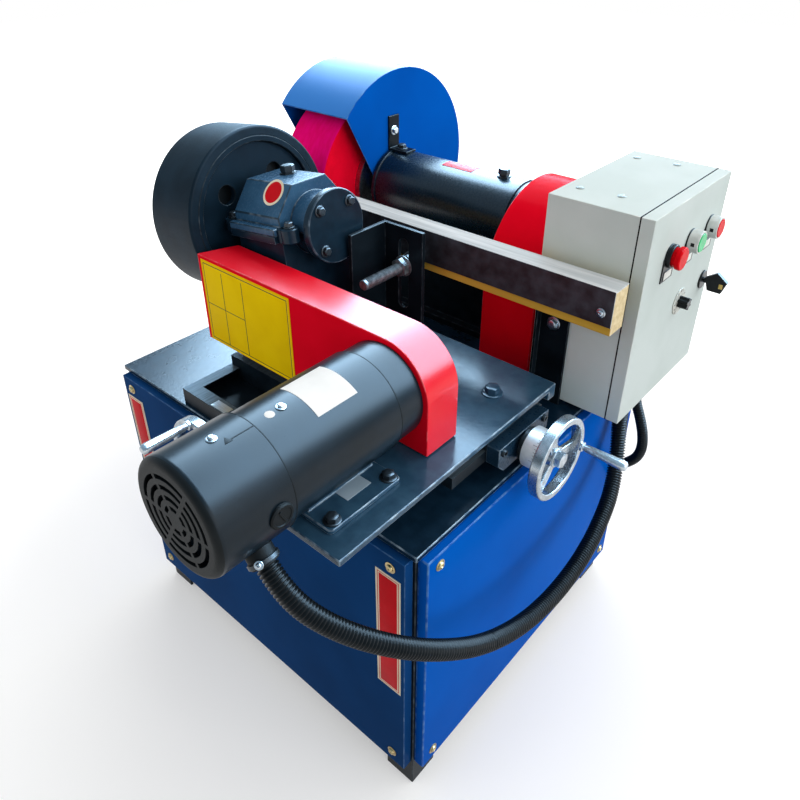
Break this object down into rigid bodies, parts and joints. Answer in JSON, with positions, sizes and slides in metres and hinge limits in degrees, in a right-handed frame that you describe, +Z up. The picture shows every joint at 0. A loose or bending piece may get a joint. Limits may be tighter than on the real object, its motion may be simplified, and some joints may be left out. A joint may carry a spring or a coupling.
{
  "type": "pipe polishing machine",
  "caption": "Pipe polishing machine: a leaning rubber feed wheel on a cross slide presses round pipe against a hooded abrasive wheel, on a sheet-metal cabinet.",
  "frame": {"origin": "on the floor under the middle of the machine's box, hoses left out", "axes": "+X to the right along the spindle, +Y from the feed motor to the back, +Z up"},
  "size_m": [0.754, 0.914, 0.875],
  "materials": {
    "blue_paint": "gloss paint",
    "dark_paint": "semi-gloss black paint",
    "grey_paint": "hammered grey-blue paint",
    "red_paint": "gloss red paint",
    "gear_paint": "semi-gloss dark blue-grey paint",
    "box_paint": "powder coat",
    "casting": "machined and oiled",
    "steel": "bare steel",
    "chrome": "polished",
    "black_plastic": "moulded",
    "clear_plastic": "moulded",
    "red_plastic": "moulded",
    "green_plastic": "moulded",
    "black_rubber": "ground rubber",
    "red_cloth": "packed abrasive cloth",
    "timber": "varnished edge"
  },
  "bodies": {
    "cabinet": {"corner_posts": "dark_paint", "front_panel": "blue_paint", "back_panel": "blue_paint", "right_panel": "blue_paint", "left_panel": "blue_paint", "deck_plate": "grey_paint", "slide_base": "casting", "spindle_housing": "dark_paint", "spindle_cradle": "dark_paint", "spindle_belt_guard": "red_paint", "wheel_hood": "blue_paint", "hood_bracket": "dark_paint", "control_box": "box_paint", "box_stand": "dark_paint", "hose_glands": "black_plastic", "motor_hose": "black_plastic", "panel_hose": "black_plastic"},
    "saddle": {"cross_saddle": "casting", "screw_block": "steel"},
    "table": {"slide_table": "casting", "motor_plate": "steel", "motor_foot": "dark_paint", "motor_body": "dark_paint", "motor_end_bell": "dark_paint", "fan_cover": "dark_paint", "motor_gland": "black_plastic", "feed_belt_guard": "red_paint", "gearbox_base": "gear_paint", "gearbox_cover": "gear_paint", "gearbox_end_cap": "gear_paint", "gearbox_wedge": "dark_paint", "rest_post": "dark_paint", "rest_stud": "steel", "rest_facing": "steel", "rest_board": "timber"},
    "feed_roll": {"feed_drum": "steel", "feed_web": "gear_paint", "feed_hub": "steel", "feed_tyre": "black_rubber"},
    "spindle": {"spindle_shaft": "steel", "abrasive_wheel": "red_cloth"},
    "front_wheel": {"front_handwheel": "chrome", "front_handle": "chrome", "front_screw": "steel"},
    "side_wheel": {"side_handwheel": "chrome", "side_handle": "chrome", "side_screw": "steel"},
    "door": {"box_door": "box_paint", "legend_plates": "black_plastic", "button_collars": "clear_plastic", "halt_collar": "black_plastic", "door_dials": "steel"},
    "halt_cap": {"halt_button": "red_plastic"},
    "start_cap": {"start_button": "green_plastic"},
    "stop_cap": {"stop_button": "red_plastic"},
    "knob": {"speed_knob": "black_plastic"},
    "key": {"door_key": "black_plastic"}
  },
  "joints": [
    {"name": "cross_slide", "type": "slide", "parent": "cabinet", "child": "saddle", "axis": [0, -1, 0], "range_m": [-0.004, 0.06], "deforming": ["motor_hose"]},
    {"name": "table_slide", "type": "slide", "parent": "saddle", "child": "table", "axis": [1, 0, 0], "range_m": [-0.04, 0.03], "deforming": ["motor_hose"]},
    {"name": "feed_spin", "type": "hinge", "parent": "table", "child": "feed_roll", "pos_m": [-0.13675, -0.048, 0.72763], "axis": [0.9914, 0, 0.1305], "continuous": true},
    {"name": "spindle_spin", "type": "hinge", "parent": "cabinet", "child": "spindle", "pos_m": [-0.045, 0.261, 0.683], "axis": [1, 0, 0], "continuous": true},
    {"name": "front_wheel_turn", "type": "hinge", "parent": "cabinet", "child": "front_wheel", "pos_m": [-0.053, -0.296, 0.494], "axis": [0, -1, 0], "range_deg": [-200, 2750]},
    {"name": "side_wheel_turn", "type": "hinge", "parent": "saddle", "child": "side_wheel", "pos_m": [0.299, -0.02, 0.512], "axis": [1, 0, 0], "range_deg": [-1850, 1400]},
    {"name": "door_hinge", "type": "hinge", "parent": "cabinet", "child": "door", "pos_m": [0.301, 0.123, 0.64], "axis": [0, 0, -1], "range_deg": [0, 95]},
    {"name": "halt_press", "type": "slide", "parent": "door", "child": "halt_cap", "axis": [-1, 0, 0], "range_m": [0, 0.004], "stiffness_N_per_m": 400, "springref_m": -0.002},
    {"name": "start_press", "type": "slide", "parent": "door", "child": "start_cap", "axis": [-1, 0, 0], "range_m": [0, 0.004], "stiffness_N_per_m": 400, "springref_m": -0.002},
    {"name": "stop_press", "type": "slide", "parent": "door", "child": "stop_cap", "axis": [-1, 0, 0], "range_m": [0, 0.004], "stiffness_N_per_m": 400, "springref_m": -0.002},
    {"name": "knob_turn", "type": "hinge", "parent": "door", "child": "knob", "pos_m": [0.335, 0.265, 0.627], "axis": [1, 0, 0], "range_deg": [-135, 135]},
    {"name": "key_turn", "type": "hinge", "parent": "door", "child": "key", "pos_m": [0.345, 0.348, 0.631], "axis": [1, 0, 0], "range_deg": [-90, 0]}
  ],
  "couplings": [
    {"joint": "front_wheel_turn", "follows": "cross_slide", "rad_per_m": 785.4},
    {"joint": "side_wheel_turn", "follows": "table_slide", "rad_per_m": 785.4}
  ]
}
